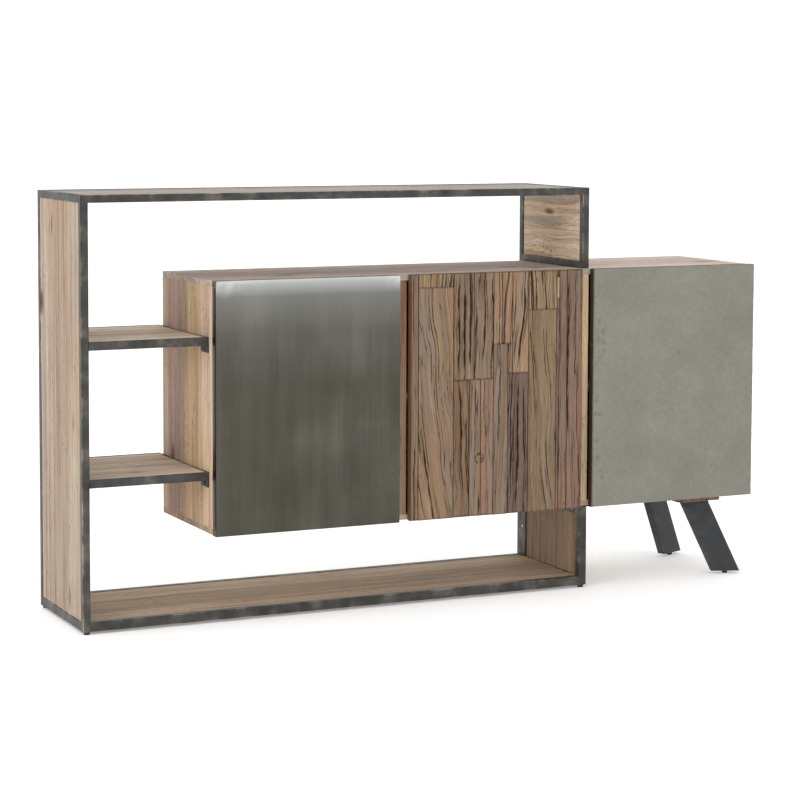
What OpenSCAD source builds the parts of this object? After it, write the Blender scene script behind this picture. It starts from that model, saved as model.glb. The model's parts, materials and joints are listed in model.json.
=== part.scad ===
// Sideboard: an open steel-framed shelf unit with a three-door cabinet set through it.
// Working axes: x from the frame's left end, y from the doors' front plane to the back, z from the floor.
// The finished part stands with its origin under the middle of its bounding box.

/* [Overall] */
// Length from the frame's left end to the cabinet's right end
overall_l = 1590; // [1500:10:1920]
// Depth from the doors' front plane to the rear of the frame
overall_d = 340; // [280:5:410]
// Height from the floor to the top of the frame
overall_h = 900; // [850:10:1090]

/* [Open frame] */
// Length of the open frame
frame_l = 1178; // [1170:2:1240]
// Width across the square tube
tube = 16; // [13:1:20]
// Height of the bottom tubes
base_h = 20; // [16:1:24]
// Width of the short post under the cabinet
short_post_w = 20; // [16:1:24]
// Wall thickness of every tube
tube_wall = 1.5; // [1.2:0.1:2]
// Thickness of the wooden panels set into the frame
panel_t = 12; // [9:0.5:13]
// Depth of a panel's outer face below the steel
panel_recess = 1; // [0.5:0.5:2]

/* [Shelves at the left] */
// Height of the upper shelf's top
upper_shelf_z = 602; // [540:2:690]
// Height of the lower shelf's top
lower_shelf_z = 320; // [270:2:400]
// Height of the angle iron round a shelf
rim_h = 18; // [15:1:22]
// Thickness of the angle iron
rim_t = 3; // [2:0.5:4]

/* [Cabinet] */
// Distance from the frame's left end to the cabinet
cab_offset = 275; // [230:5:330]
// Height of the cabinet's underside
cab_z = 190; // [160:2:228]
// Height of the cabinet
cab_h = 530; // [460:5:600]
// Distance that the cabinet's front stands in front of the frame
cab_proud = 18; // [10:1:22]
// Thickness of the top and bottom boards
board_t = 12; // [11:0.5:18]
// Thickness of the two side boards
side_t = 18; // [15:0.5:22]
// Thickness of the two dividers
divider_t = 22; // [19:0.5:26]
// Thickness of the back
back_t = 6; // [4:0.5:8]
// Thickness of the shelves inside
inner_shelf_t = 16; // [12:0.5:19]

/* [Doors] */
// Thickness of a door
door_t = 20; // [17:0.5:24]
// Gap between a closed door and the cabinet
door_rear_gap = 2; // [1.7:0.1:3]
// Finger gap between two doors
finger_gap = 28; // [24:1:34]
// Overlap of the doors above and below the cabinet
door_over = 1; // [0:0.5:2]
// Thickness of the sheet steel on the first door
skin_t = 1.2; // [0.8:0.1:2]
// Thickness of the reclaimed strips on the second door
cladding_t = 7; // [5:0.5:9]
// Thickness of the cement slab on the third door
slab_t = 6; // [5:0.5:8]

/* [Pivot hinges] */
// Diameter of a pivot pin
pin_d = 5; // [4:0.5:6]
// Thickness of a pivot plate
plate_t = 3; // [2.5:0.5:4]
// Width of a pivot plate inside the cabinet
leaf_w = 20; // [16:1:24]
// Length of a pivot plate inside the cabinet
leaf_l = 50; // [40:1:60]

/* [Legs] */
// Width of a leg's box section, along its lean
leg_w = 60; // [50:1:72]
// Thickness of a leg's box section
leg_t = 20; // [16:1:24]
// Lean of a leg from upright, in degrees
leg_lean = 24.8; // [18:0.2:28]
// Turn of a leg's lean towards the front or the rear, in degrees
leg_splay = 22; // [15:1:30]
// Distance from a leg's foot to the cabinet's right end
leg_edge_in = 1; // [0:1:30]
// Distance from the front or rear of the cabinet to the middle of a leg's top
leg_top_in = 59; // [55:1:80]
// Width of the wooden batten over the legs
batten_w = 100; // [98:1:130]
// Thickness of the batten
batten_t = 12; // [10:1:18]
// Height of the glides
glide_h = 6; // [4:1:8]
// Diameter of the glides
glide_d = 13; // [10:1:15]

/* [Hidden] */
$fn = 48;
over = 1;                 // how far a cut runs past the face it opens in
hole_clear = 0.05;        // radial clearance of a screw, pin or dowel in its hole
press = 0.01;             // radial interference of a pivot pin in its plate
move_clear = 0.3;         // clearance between pieces that move past each other
seat_clear = 0.5;         // clearance round a board that drops into its seat

// Screws: small ones for tabs and plates, stout ones for legs and posts
screw_r = 1.75;
screw_head_r = 3.2;
screw_head_h = 1.4;
screw_l = 9;
bolt_r = 2.5;
bolt_head_r = 5;
bolt_head_h = 3;

// Colours
steel_c = [0.26, 0.27, 0.26];
black_c = [0.12, 0.12, 0.13];
panel_c = [0.74, 0.66, 0.56];
carcass_c = [0.70, 0.60, 0.48];
raw_c = [0.62, 0.50, 0.38];
door_steel_c = [0.40, 0.40, 0.38];
strip_c = [0.50, 0.40, 0.31];
cement_c = [0.55, 0.55, 0.49];
board_c = [0.66, 0.58, 0.47];
bright_c = [0.75, 0.75, 0.76];
batten_c = [0.45, 0.25, 0.18];

// Main planes
carcass_y0 = door_t + door_rear_gap;
frame_y0 = carcass_y0 + cab_proud;
frame_y1 = overall_d;
inner_y0 = frame_y0 + tube;
inner_y1 = frame_y1 - tube;
carcass_y1 = inner_y1;
cab_x0 = cab_offset;
cab_x1 = overall_l;
cab_top = cab_z + cab_h;
frame_top = overall_h;
base_top = glide_h + base_h;
rail_under = frame_top - tube;
post_x0 = frame_l - tube;
short_post_x0 = frame_l - short_post_w;

// Wooden panels of the frame
top_panel_z0 = frame_top - panel_recess - panel_t;
bottom_panel_z0 = base_top - panel_recess - panel_t;
left_panel_x0 = panel_recess;
right_panel_x1 = frame_l - panel_recess;
right_panel_x0 = right_panel_x1 - panel_t;
base_cross_top = cab_top + tube;

// Tabs welded to the tubes, which the panels are screwed to
clip_t = 2;
clip_w = 30;
clip_l = 20;
clip_end_in = 90;
hold_in = 45;
clip_ys = [inner_y0 + clip_l / 2, inner_y1 - clip_l / 2];
clip_xs = spread(clip_end_in, post_x0 - clip_end_in, 5);
left_clip_zs = [base_top + clip_end_in, (lower_shelf_z + upper_shelf_z) / 2, rail_under - clip_end_in];
clip_screw_l = clip_t + 8;

// Steel bars behind the lower right panel and plates under the cabinet
bar_t = 3;
top_bar_h = 22;
rear_bar_w = 25;
mount_t = 3;
mount_w = 34;
mount_l = 40;
mount_z0 = cab_z - mount_t;
mount_x0 = short_post_x0;
mount_screw_x = (frame_l + mount_x0 + mount_w) / 2;
mount_screw_in = 10;

// Shelves at the left
bracket_t = 3;
bracket_l = 40;
bracket_drop = 15;
bracket_screw_drop = 8;
rim_x0 = tube;
rim_x1 = cab_x0 - bracket_t;
bracket_ys = [frame_y0, carcass_y1 - bracket_l];

// Cabinet
bay_z0 = cab_z + board_t;
bay_z1 = cab_top - board_t;
back_y0 = carcass_y1 - back_t;
door_w = (cab_x1 - cab_x0 - 2 * finger_gap) / 3;
door_pitch = door_w + finger_gap;
door_xs = [for (i = [0:2]) cab_x0 + i * door_pitch];
divider_xs = [for (i = [1, 2]) door_xs[i] - finger_gap / 2 - divider_t / 2];
bay_x0s = [cab_x0 + side_t, divider_xs[0] + divider_t, divider_xs[1] + divider_t];
bay_x1s = [divider_xs[0], divider_xs[1], cab_x1 - side_t];
inner_shelf_z0 = (bay_z0 + bay_z1 - inner_shelf_t) / 2;
inner_shelf_front_in = 12;
shelf_pin_r = 2.5;
shelf_pin_deep = 7;
shelf_pin_out = 9;
shelf_pin_in = 45;
shelf_pin_ys = [carcass_y0 + shelf_pin_in, back_y0 - shelf_pin_in];
dowel_r = 4;
dowel_deep = 7;
dowel_l = 30;
dowel_ys = [carcass_y0 + shelf_pin_in, back_y0 - shelf_pin_in];
upright_mids = [
    cab_x0 + side_t / 2,
    divider_xs[0] + divider_t / 2,
    divider_xs[1] + divider_t / 2,
    cab_x1 - side_t / 2
];

// Doors: a closed door turns about a pin inside its own thickness, near its hinged edge.
// The pin's distance from that edge lets the rear corner swing past the cabinet's front.
door_z0 = cab_z - door_over;
door_z1 = cab_top + door_over;
swing_clear = 0.35;
pin_r = pin_d / 2;
pin_y = door_t / 2;
pin_back = door_t - pin_y;
pin_side = sqrt(pow(pin_back + door_rear_gap - swing_clear, 2) - pow(pin_back, 2));
pin_out = 18;
pin_end_in = 2;
nose_r = 4;
arm_half = 3.5;
leaf_off = side_t - pin_side + seat_clear;
leaf_far = leaf_off + leaf_w;
leaf_y1 = carcass_y0 + leaf_l;
leaf_screw_in = 10;
leaf_screws = [carcass_y0 + leaf_screw_in, leaf_y1 - leaf_screw_in];
washer_t = 1;
kerf_front = pin_y - nose_r - move_clear;
kerf_reach = sqrt(pow(leaf_far, 2) + pow(pin_back, 2)) + move_clear;
low_plate_z0 = bay_z0;
high_plate_z0 = bay_z1 - plate_t;
strip_gap = 0.6;
strip_steps = [3, 5, 2, 4, 6, 3, 5, 4, 2, 6, 3, 4, 5, 3];
strip_depths = [1, 0, 3, 0.5, 2, 0, 1.5, 2.5, 0, 1, 3, 0.5, 2, 0];
strip_lifts = [2, 0, 1, 3, 0, 2, 1, 0, 3, 1, 0, 2, 0, 1];

// Hinged side of each door: 1 for the left edge, -1 for the right edge
hinge_sides = [1, -1, -1];

// Magnet catches and their strike plates
catch_w = 40;
catch_h = 12;
catch_l = 15;
catch_in = 60;
strike_t = 1.5;
strike_w = 30;
strike_h = 10;
catch_y0 = door_t + strike_t + move_clear;

// Legs
leg_wall = 2;
leg_plate_t = 3;
leg_plate_w = 72;
leg_plate_edge = 2;
leg_screw_in = 7;
batten_x1 = cab_x1 - 72;
batten_x0 = batten_x1 - batten_w;
batten_chamfer = 3;
leg_top = cab_z - batten_t;
leg_body_top = leg_top - leg_plate_t;
leg_cut_w = leg_w / cos(leg_lean);
leg_foot_x = cab_x1 - leg_edge_in - leg_cut_w / 2 * cos(leg_splay) - leg_t / 2 * sin(leg_splay);
leg_run = (leg_body_top - glide_h) * tan(leg_lean);
leg_top_x = leg_foot_x - leg_run * cos(leg_splay);
leg_ys = [carcass_y0 + leg_top_in, carcass_y1 - leg_top_in];
leg_turns = [-leg_splay, leg_splay];
plug_h = 10;
leg_plate_xs = [batten_x0 + leg_plate_edge, batten_x1 - leg_plate_edge];

// Glides
glide_stem_r = 3;
glide_stem_l = 8;
glide_in = 10;
frame_glides = [
    [glide_in, frame_y0 + tube / 2],
    [glide_in, frame_y1 - tube / 2],
    [frame_l - glide_in, frame_y0 + tube / 2],
    [frame_l - glide_in, frame_y1 - tube / 2]
];
leg_glides = [
    for (i = [0, 1])
        [leg_foot_x, leg_ys[i] + leg_run * sin(leg_turns[i])]
];

// Driving directions of a screw, as turns of the upward direction
to_front = [90, 0, 0];
to_up = [0, 0, 0];
to_down = [180, 0, 0];
to_left = [0, -90, 0];
to_right = [0, 90, 0];

// n values evenly spread from first to last
function spread(first, last, n) = [for (i = [0:n - 1]) first + (last - first) * i / (n - 1)];

// Sum of the first n entries of a list
function sum_to(list, n) = n <= 0 ? 0 : list[n - 1] + sum_to(list, n - 1);

// Screw places: every screw, its pilot hole and the hole in what it holds use the same list
function flat_clips(z) = [for (x = clip_xs) for (y = clip_ys) [x, y, z]];
function side_clips(x, zs) = [for (z = zs) for (y = clip_ys) [x, y, z]];
top_clip_pts = flat_clips(top_panel_z0 - clip_t);
bottom_clip_pts = flat_clips(bottom_panel_z0 - clip_t);
left_clip_pts = side_clips(left_panel_x0 + panel_t + clip_t, left_clip_zs);
// The upper right panel has no tabs: screws reach it from inside the rear post and the base cross
hold_x = (right_panel_x0 + right_panel_x1) / 2;
hold_ys = [inner_y0 + hold_in, inner_y1 - hold_in];
hold_zs = [base_cross_top + hold_in, rail_under - hold_in];
foot_screw_pts = [for (y = hold_ys) [hold_x, y, base_cross_top - tube_wall]];
rear_screw_pts = [for (z = hold_zs) [hold_x, inner_y1 + tube_wall, z]];
hold_screw_l = tube_wall + screw_l;
access_r = screw_head_r + seat_clear;
top_bar_z = mount_z0 - top_bar_h / 2;
rear_bar_y = inner_y1 - rear_bar_w / 2;
bar_x0 = right_panel_x0 - bar_t;
top_bar_pts = [for (y = spread(inner_y0 + clip_l, inner_y1 - clip_l, 4)) [bar_x0, y, top_bar_z]];
rear_bar_pts = [[bar_x0, rear_bar_y, (base_top + mount_z0 - top_bar_h) / 2]];
bar_pts = concat(top_bar_pts, rear_bar_pts);
mount_y0s = [carcass_y0, carcass_y1 - mount_l];
mount_pts = [
    for (y = mount_y0s)
        for (in = [mount_screw_in, mount_l - mount_screw_in])
            [mount_screw_x, y + in, mount_z0]
];
bracket_pts = [
    for (top = [upper_shelf_z, lower_shelf_z])
        for (y = bracket_ys)
            [rim_x1, y + bracket_l / 2, top - rim_h - bracket_screw_drop]
];
leg_pts = [
    for (y = leg_ys)
        for (x = [leg_plate_xs[0] + leg_screw_in, leg_plate_xs[1] - leg_screw_in])
            for (side = [-1, 1])
                [x, y + side * (leg_plate_w / 2 - leg_screw_in), leg_body_top]
];
base_bolt_pts = [for (y = [inner_y0 + clip_end_in, inner_y1 - clip_end_in]) [post_x0 + tube / 2, y, bay_z1]];
function leaf_mid(i) = pin_x(i) + hinge_sides[i] * (leaf_off + leaf_w / 2);
low_leaf_pts = [for (i = [0:2]) for (y = leaf_screws) [leaf_mid(i), y, low_plate_z0 + plate_t]];
high_leaf_pts = [for (i = [0:2]) for (y = leaf_screws) [leaf_mid(i), y, high_plate_z0]];

// Where the hinged edge and the pin of door i stand
function hinge_x(i) = hinge_sides[i] > 0 ? door_xs[i] : door_xs[i] + door_w;
function pin_x(i) = hinge_x(i) + hinge_sides[i] * pin_side;
function free_x(i) = hinge_sides[i] > 0 ? door_xs[i] + door_w : door_xs[i];

// Moves the working origin to the middle of the footprint
module placed() {
    translate([-overall_l / 2, -overall_d / 2, 0]) children();
}

// Block between two opposite corners
module block(lo, hi) {
    translate(lo) cube(hi - lo);
}

// Upright cylinder from z0 to z1
module rod(x, y, z0, z1, r) {
    translate([x, y, z0]) cylinder(h = z1 - z0, r = r);
}

// Screw with its head against the face at p, driven along the turned direction
module screw(p, turn, r, l, head_r, head_h) {
    translate(p) rotate(turn) {
        cylinder(h = l, r = r);
        translate([0, 0, -head_h]) cylinder(h = head_h, r = head_r);
    }
}

// Pilot hole that a screw at p fits, deeper than the screw by the seat clearance
module pilot(p, turn, r, l) {
    translate(p) rotate(turn) translate([0, 0, -over])
        cylinder(h = l + over + seat_clear, r = r + hole_clear);
}

// Mitred tube of a front or rear frame: its outline in x and z, with its bore cut right through
module frame_tube(outline, bore_lo, bore_hi, y0) {
    difference() {
        translate([0, y0 + tube, 0]) rotate([90, 0, 0]) linear_extrude(height = tube) polygon(outline);
        block([bore_lo[0], y0 + tube_wall, bore_lo[1]], [bore_hi[0], y0 + tube - tube_wall, bore_hi[1]]);
    }
}

module left_post(y0) {
    outline = [[0, glide_h], [tube, base_top], [tube, rail_under], [0, frame_top]];
    frame_tube(outline, [tube_wall, glide_h - over], [tube - tube_wall, frame_top + over], y0);
}

module top_rail(y0) {
    outline = [[0, frame_top], [tube, rail_under], [post_x0, rail_under], [frame_l, frame_top]];
    frame_tube(outline, [-over, rail_under + tube_wall], [frame_l + over, frame_top - tube_wall], y0);
}

module bottom_rail(y0, right_x) {
    outline = [[0, glide_h], [frame_l, glide_h], [right_x, base_top], [tube, base_top]];
    difference() {
        frame_tube(outline, [-over, glide_h + tube_wall], [frame_l + over, base_top - tube_wall], y0);
        for (x = [glide_in, frame_l - glide_in])
            rod(x, y0 + tube / 2, glide_h - over, glide_h + tube_wall + over, glide_stem_r + hole_clear);
    }
}

// Tube that joins the front frame to the rear frame
module cross_tube(x0, x1, z0, z1) {
    difference() {
        block([x0, inner_y0, z0], [x1, inner_y1, z1]);
        block([x0 + tube_wall, inner_y0 - over, z0 + tube_wall],
            [x1 - tube_wall, inner_y1 + over, z1 - tube_wall]);
    }
}

module left_front_post() { color(steel_c) placed() left_post(frame_y0); }
module left_rear_post() { color(steel_c) placed() left_post(frame_y1 - tube); }

module right_upper_post() {
    outline = [[post_x0, cab_top], [frame_l, cab_top], [frame_l, frame_top], [post_x0, rail_under]];
    bore_lo = [post_x0 + tube_wall, cab_top - over];
    bore_hi = [frame_l - tube_wall, frame_top + over];
    color(steel_c) placed() frame_tube(outline, bore_lo, bore_hi, frame_y0);
}

module right_lower_post() {
    outline = [[frame_l, glide_h], [frame_l, mount_z0], [short_post_x0, mount_z0], [short_post_x0, base_top]];
    bore_lo = [short_post_x0 + tube_wall, glide_h - over];
    bore_hi = [frame_l - tube_wall, mount_z0 + over];
    color(steel_c) placed() frame_tube(outline, bore_lo, bore_hi, frame_y0);
}

// The rear right post runs past the back of the cabinet in one length
module right_rear_post() {
    outline = [[frame_l, glide_h], [frame_l, frame_top], [post_x0, rail_under], [post_x0, base_top]];
    bore_lo = [post_x0 + tube_wall, glide_h - over];
    bore_hi = [frame_l - tube_wall, frame_top + over];
    color(steel_c) placed() difference() {
        frame_tube(outline, bore_lo, bore_hi, frame_y1 - tube);
        for (p = rear_screw_pts) {
            pilot(p, to_front, screw_r, tube_wall);
            translate([p[0], frame_y1 + over, p[2]]) rotate(to_front)
                cylinder(h = tube_wall + 2 * over, r = access_r);
        }
    }
}

module top_front_rail() { color(steel_c) placed() top_rail(frame_y0); }
module top_rear_rail() { color(steel_c) placed() top_rail(frame_y1 - tube); }
module bottom_front_rail() { color(steel_c) placed() bottom_rail(frame_y0, short_post_x0); }
module bottom_rear_rail() { color(steel_c) placed() bottom_rail(frame_y1 - tube, post_x0); }
module left_top_cross() { color(steel_c) placed() cross_tube(0, tube, rail_under, frame_top); }
module left_bottom_cross() { color(steel_c) placed() cross_tube(0, tube, glide_h, base_top); }
module right_top_cross() { color(steel_c) placed() cross_tube(post_x0, frame_l, rail_under, frame_top); }
module right_bottom_cross() { color(steel_c) placed() cross_tube(post_x0, frame_l, glide_h, base_top); }

// Stands on the cabinet's top board and is bolted to it from below
module right_base_cross() {
    color(steel_c) placed() difference() {
        cross_tube(post_x0, frame_l, cab_top, base_cross_top);
        for (p = base_bolt_pts) pilot(p, to_up, bolt_r, board_t + tube_wall + over);
        for (p = foot_screw_pts) {
            pilot(p, to_up, screw_r, tube_wall);
            rod(p[0], p[1], cab_top - over, cab_top + tube_wall + over, access_r);
        }
    }
}

// Flat bars behind the lower right panel: one under the cabinet, one beside the rear post
module flange_bars() {
    color(steel_c) placed() difference() {
        union() {
            block([bar_x0, inner_y0, mount_z0 - top_bar_h], [right_panel_x0, inner_y1, mount_z0]);
            block([bar_x0, inner_y1 - rear_bar_w, base_top],
                [right_panel_x0, inner_y1, mount_z0 - top_bar_h]);
        }
        for (p = bar_pts) pilot(p, to_right, screw_r, bar_t);
    }
}

// Plates that tie the right posts to the cabinet's underside
module post_mount_plates() {
    color(black_c) placed() difference() {
        for (y = mount_y0s) block([mount_x0, y, mount_z0], [mount_x0 + mount_w, y + mount_l, cab_z]);
        for (p = mount_pts) pilot(p, to_up, bolt_r, mount_t);
    }
}

module left_panel() {
    color(panel_c) placed() difference() {
        block([left_panel_x0, inner_y0, base_top], [left_panel_x0 + panel_t, inner_y1, rail_under]);
        for (p = left_clip_pts) pilot(p, to_left, screw_r, clip_screw_l);
    }
}

module top_panel() {
    color(panel_c) placed() difference() {
        block([tube, inner_y0, top_panel_z0], [post_x0, inner_y1, top_panel_z0 + panel_t]);
        for (p = top_clip_pts) pilot(p, to_up, screw_r, clip_screw_l);
    }
}

module bottom_panel() {
    color(panel_c) placed() difference() {
        block([tube, inner_y0, bottom_panel_z0], [post_x0, inner_y1, bottom_panel_z0 + panel_t]);
        for (p = bottom_clip_pts) pilot(p, to_up, screw_r, clip_screw_l);
    }
}

module right_upper_panel() {
    color(panel_c) placed() difference() {
        block([right_panel_x0, inner_y0, base_cross_top], [right_panel_x1, inner_y1, rail_under]);
        for (p = foot_screw_pts) pilot(p, to_up, screw_r, hold_screw_l);
        for (p = rear_screw_pts) pilot(p, to_front, screw_r, hold_screw_l);
    }
}

module right_lower_panel() {
    color(panel_c) placed() difference() {
        block([right_panel_x0, inner_y0, base_top], [right_panel_x1, inner_y1, mount_z0]);
        for (p = bar_pts) pilot(p, to_right, screw_r, screw_l);
    }
}

// Tab welded to a tube, from corner lo, with a screw hole
module clip(lo, size, p, turn) {
    difference() {
        block(lo, lo + size);
        pilot(p, turn, screw_r, clip_t);
    }
}

module panel_clips() {
    color(steel_c) placed() {
        for (p = concat(top_clip_pts, bottom_clip_pts))
            clip(p - [clip_w / 2, clip_l / 2, 0], [clip_w, clip_l, clip_t], p, to_up);
        for (p = left_clip_pts)
            clip(p - [clip_t, clip_l / 2, clip_w / 2], [clip_t, clip_l, clip_w], p, to_left);
    }
}

module panel_screws() {
    color(bright_c) placed() {
        for (p = concat(top_clip_pts, bottom_clip_pts))
            screw(p, to_up, screw_r, clip_screw_l, screw_head_r, screw_head_h);
        for (p = left_clip_pts) screw(p, to_left, screw_r, clip_screw_l, screw_head_r, screw_head_h);
        for (p = foot_screw_pts) screw(p, to_up, screw_r, hold_screw_l, screw_head_r, screw_head_h);
        for (p = rear_screw_pts) screw(p, to_front, screw_r, hold_screw_l, screw_head_r, screw_head_h);
        for (p = bar_pts) screw(p, to_right, screw_r, screw_l, screw_head_r, screw_head_h);
    }
}

// Board of a left shelf, dropped into its angle-iron rim
module shelf_board(top) {
    edge = rim_t + seat_clear;
    block([rim_x0 + edge, frame_y0 + edge, top - rim_h + rim_t],
        [rim_x1 - edge, frame_y1 - edge, top - panel_recess]);
}

// Angle iron welded into a ring: an upright leg outside and a ledge under the board
module shelf_rim(top) {
    difference() {
        block([rim_x0, frame_y0, top - rim_h], [rim_x1, frame_y1, top]);
        block([rim_x0 + rim_t, frame_y0 + rim_t, top - rim_h + rim_t],
            [rim_x1 - rim_t, frame_y1 - rim_t, top + over]);
        block([rim_x0 + rim_h, frame_y0 + rim_h, top - rim_h - over],
            [rim_x1 - rim_h, frame_y1 - rim_h, top]);
    }
}

module upper_shelf_board() { color(panel_c) placed() shelf_board(upper_shelf_z); }
module lower_shelf_board() { color(panel_c) placed() shelf_board(lower_shelf_z); }
module upper_shelf_rim() { color(steel_c) placed() shelf_rim(upper_shelf_z); }
module lower_shelf_rim() { color(steel_c) placed() shelf_rim(lower_shelf_z); }

// Plates welded to the rims' right ends and screwed to the cabinet's side
module shelf_brackets() {
    color(black_c) placed() difference() {
        for (top = [upper_shelf_z, lower_shelf_z])
            for (y = bracket_ys)
                block([rim_x1, y, top - rim_h - bracket_drop], [cab_x0, y + bracket_l, top]);
        for (p = bracket_pts) pilot(p, to_right, screw_r, bracket_t);
    }
}

// Dowel holes for every upright, sunk from the height z in both directions
module dowel_holes(z, up, down) {
    for (x = upright_mids)
        for (y = dowel_ys)
            rod(x, y, z - down, z + up, dowel_r + hole_clear);
}

module carcass_top() {
    color(carcass_c) placed() difference() {
        block([cab_x0, carcass_y0, bay_z1], [cab_x1, carcass_y1, cab_top]);
        dowel_holes(bay_z1, dowel_deep + seat_clear, over);
        for (p = base_bolt_pts) pilot(p, to_up, bolt_r, board_t);
        for (p = high_leaf_pts) pilot(p, to_up, screw_r, screw_l);
    }
}

module carcass_bottom() {
    color(carcass_c) placed() difference() {
        block([cab_x0, carcass_y0, cab_z], [cab_x1, carcass_y1, bay_z0]);
        dowel_holes(bay_z0, over, dowel_deep + seat_clear);
        for (p = mount_pts) pilot(p, to_up, bolt_r, mount_t + screw_l);
        for (p = low_leaf_pts) pilot(p, to_down, screw_r, screw_l);
    }
}

// Upright board with its dowel holes; shelf-pin holes open on the left or right face as asked.
// Where it stands under the bolts of the upper post's foot, it has pockets for their heads.
module upright(x0, t, y1, pins_left, pins_right) {
    difference() {
        block([x0, carcass_y0, bay_z0], [x0 + t, y1, bay_z1]);
        dowel_holes(bay_z0, dowel_l - dowel_deep + seat_clear, over);
        dowel_holes(bay_z1, over, dowel_l - dowel_deep + seat_clear);
        for (p = base_bolt_pts)
            rod(p[0], p[1], bay_z1 - bolt_head_h - seat_clear, bay_z1 + over, bolt_head_r + seat_clear);
        for (y = shelf_pin_ys) {
            z = inner_shelf_z0 - shelf_pin_r;
            if (pins_left) pilot([x0, y, z], to_right, shelf_pin_r, shelf_pin_deep);
            if (pins_right) pilot([x0 + t, y, z], to_left, shelf_pin_r, shelf_pin_deep);
        }
    }
}

module carcass_left_side() {
    color(carcass_c) placed() difference() {
        upright(cab_x0, side_t, carcass_y1, false, true);
        for (p = bracket_pts) pilot(p, to_right, screw_r, bracket_t + screw_l);
    }
}

module carcass_right_side() {
    color(carcass_c) placed() upright(cab_x1 - side_t, side_t, carcass_y1, true, false);
}

module divider_left() { color(raw_c) placed() upright(divider_xs[0], divider_t, back_y0, true, true); }
module divider_right() { color(raw_c) placed() upright(divider_xs[1], divider_t, back_y0, true, true); }

module back_panel() {
    color(board_c) placed() block([cab_x0 + side_t, back_y0, bay_z0], [cab_x1 - side_t, carcass_y1, bay_z1]);
}

module inner_shelves() {
    color(board_c) placed() for (i = [0:2])
        block([bay_x0s[i] + seat_clear, carcass_y0 + inner_shelf_front_in, inner_shelf_z0],
            [bay_x1s[i] - seat_clear, back_y0 - seat_clear, inner_shelf_z0 + inner_shelf_t]);
}

module shelf_pins() {
    l = shelf_pin_deep + shelf_pin_out;
    color(bright_c) placed() for (i = [0:2]) for (y = shelf_pin_ys) {
        translate([bay_x0s[i] - shelf_pin_deep, y, inner_shelf_z0 - shelf_pin_r])
            rotate(to_right) cylinder(h = l, r = shelf_pin_r);
        translate([bay_x1s[i] + shelf_pin_deep, y, inner_shelf_z0 - shelf_pin_r])
            rotate(to_left) cylinder(h = l, r = shelf_pin_r);
    }
}

module carcass_dowels() {
    color(board_c) placed() for (x = upright_mids) for (y = dowel_ys) {
        rod(x, y, bay_z0 - dowel_deep, bay_z0 - dowel_deep + dowel_l, dowel_r);
        rod(x, y, bay_z1 + dowel_deep - dowel_l, bay_z1 + dowel_deep, dowel_r);
    }
}

// Cuts for the pivots of door i: a kerf for each plate and a bore for each pin
module pivot_cuts(i) {
    s = hinge_sides[i];
    x = pin_x(i);
    far = x + s * kerf_reach;
    near = hinge_x(i) - s * over;
    lo_x = min(far, near);
    hi_x = max(far, near);
    block([lo_x, kerf_front, low_plate_z0 - move_clear],
        [hi_x, door_t + over, low_plate_z0 + plate_t + washer_t + move_clear]);
    block([lo_x, kerf_front, high_plate_z0 - move_clear],
        [hi_x, door_t + over, high_plate_z0 + plate_t + move_clear]);
    rod(x, pin_y, door_z0 - over, low_plate_z0 + plate_t + washer_t + pin_out + seat_clear,
        pin_r + hole_clear);
    rod(x, pin_y, high_plate_z0 - pin_out - seat_clear, door_z1 + over, pin_r + hole_clear);
}

// Part of door i between two depths, inset from the door's edges
module door_layer(i, y0, y1, edge) {
    difference() {
        block([door_xs[i] + edge, y0, door_z0 + edge], [door_xs[i] + door_w - edge, y1, door_z1 - edge]);
        pivot_cuts(i);
    }
}

module metal_door_core() { color(board_c) placed() door_layer(0, skin_t, door_t, skin_t); }

// Sheet steel folded back round all four edges of the core
module metal_door_skin() {
    color(door_steel_c) placed() difference() {
        door_layer(0, 0, door_t, 0);
        block([door_xs[0] + skin_t, skin_t, door_z0 + skin_t],
            [door_xs[0] + door_w - skin_t, door_t + over, door_z1 - skin_t]);
    }
}

module wood_door_backer() { color(board_c) placed() door_layer(1, cladding_t, door_t, 0); }

// Reclaimed strips of uneven width, face height and length, side by side on the backer
module wood_door_cladding() {
    unit = door_w / sum_to(strip_steps, len(strip_steps));
    color(strip_c) placed() difference() {
        for (k = [0:len(strip_steps) - 1]) {
            x0 = door_xs[1] + unit * sum_to(strip_steps, k);
            x1 = x0 + unit * strip_steps[k];
            block([x0 + (k == 0 ? 0 : strip_gap / 2), strip_depths[k], door_z0 + strip_lifts[k]],
                [x1 - (k == len(strip_steps) - 1 ? 0 : strip_gap / 2), cladding_t, door_z1]);
        }
        pivot_cuts(1);
    }
}

module cement_door_core() { color(board_c) placed() door_layer(2, slab_t, door_t, 0); }
module cement_door_slab() { color(cement_c) placed() door_layer(2, 0, slab_t, 0); }

// Flat pivot plate: a leaf inside the cabinet and an arm that ends in a rounded nose round the pin
module pivot_plate(i, z0) {
    s = hinge_sides[i];
    x = pin_x(i);
    leaf_a = x + s * leaf_off;
    leaf_b = x + s * leaf_far;
    difference() {
        union() {
            rod(x, pin_y, z0, z0 + plate_t, nose_r);
            block([min(x, leaf_b), pin_y - arm_half, z0], [max(x, leaf_b), pin_y + arm_half, z0 + plate_t]);
            block([min(leaf_a, leaf_b), pin_y, z0], [max(leaf_a, leaf_b), leaf_y1, z0 + plate_t]);
        }
        rod(x, pin_y, z0 - over, z0 + plate_t + over, pin_r - press);
        for (y = leaf_screws) rod(leaf_mid(i), y, z0 - over, z0 + plate_t + over, screw_r + hole_clear);
    }
}

module pivot_plates() {
    color(black_c) placed() for (i = [0:2]) {
        pivot_plate(i, low_plate_z0);
        pivot_plate(i, high_plate_z0);
    }
}

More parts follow.
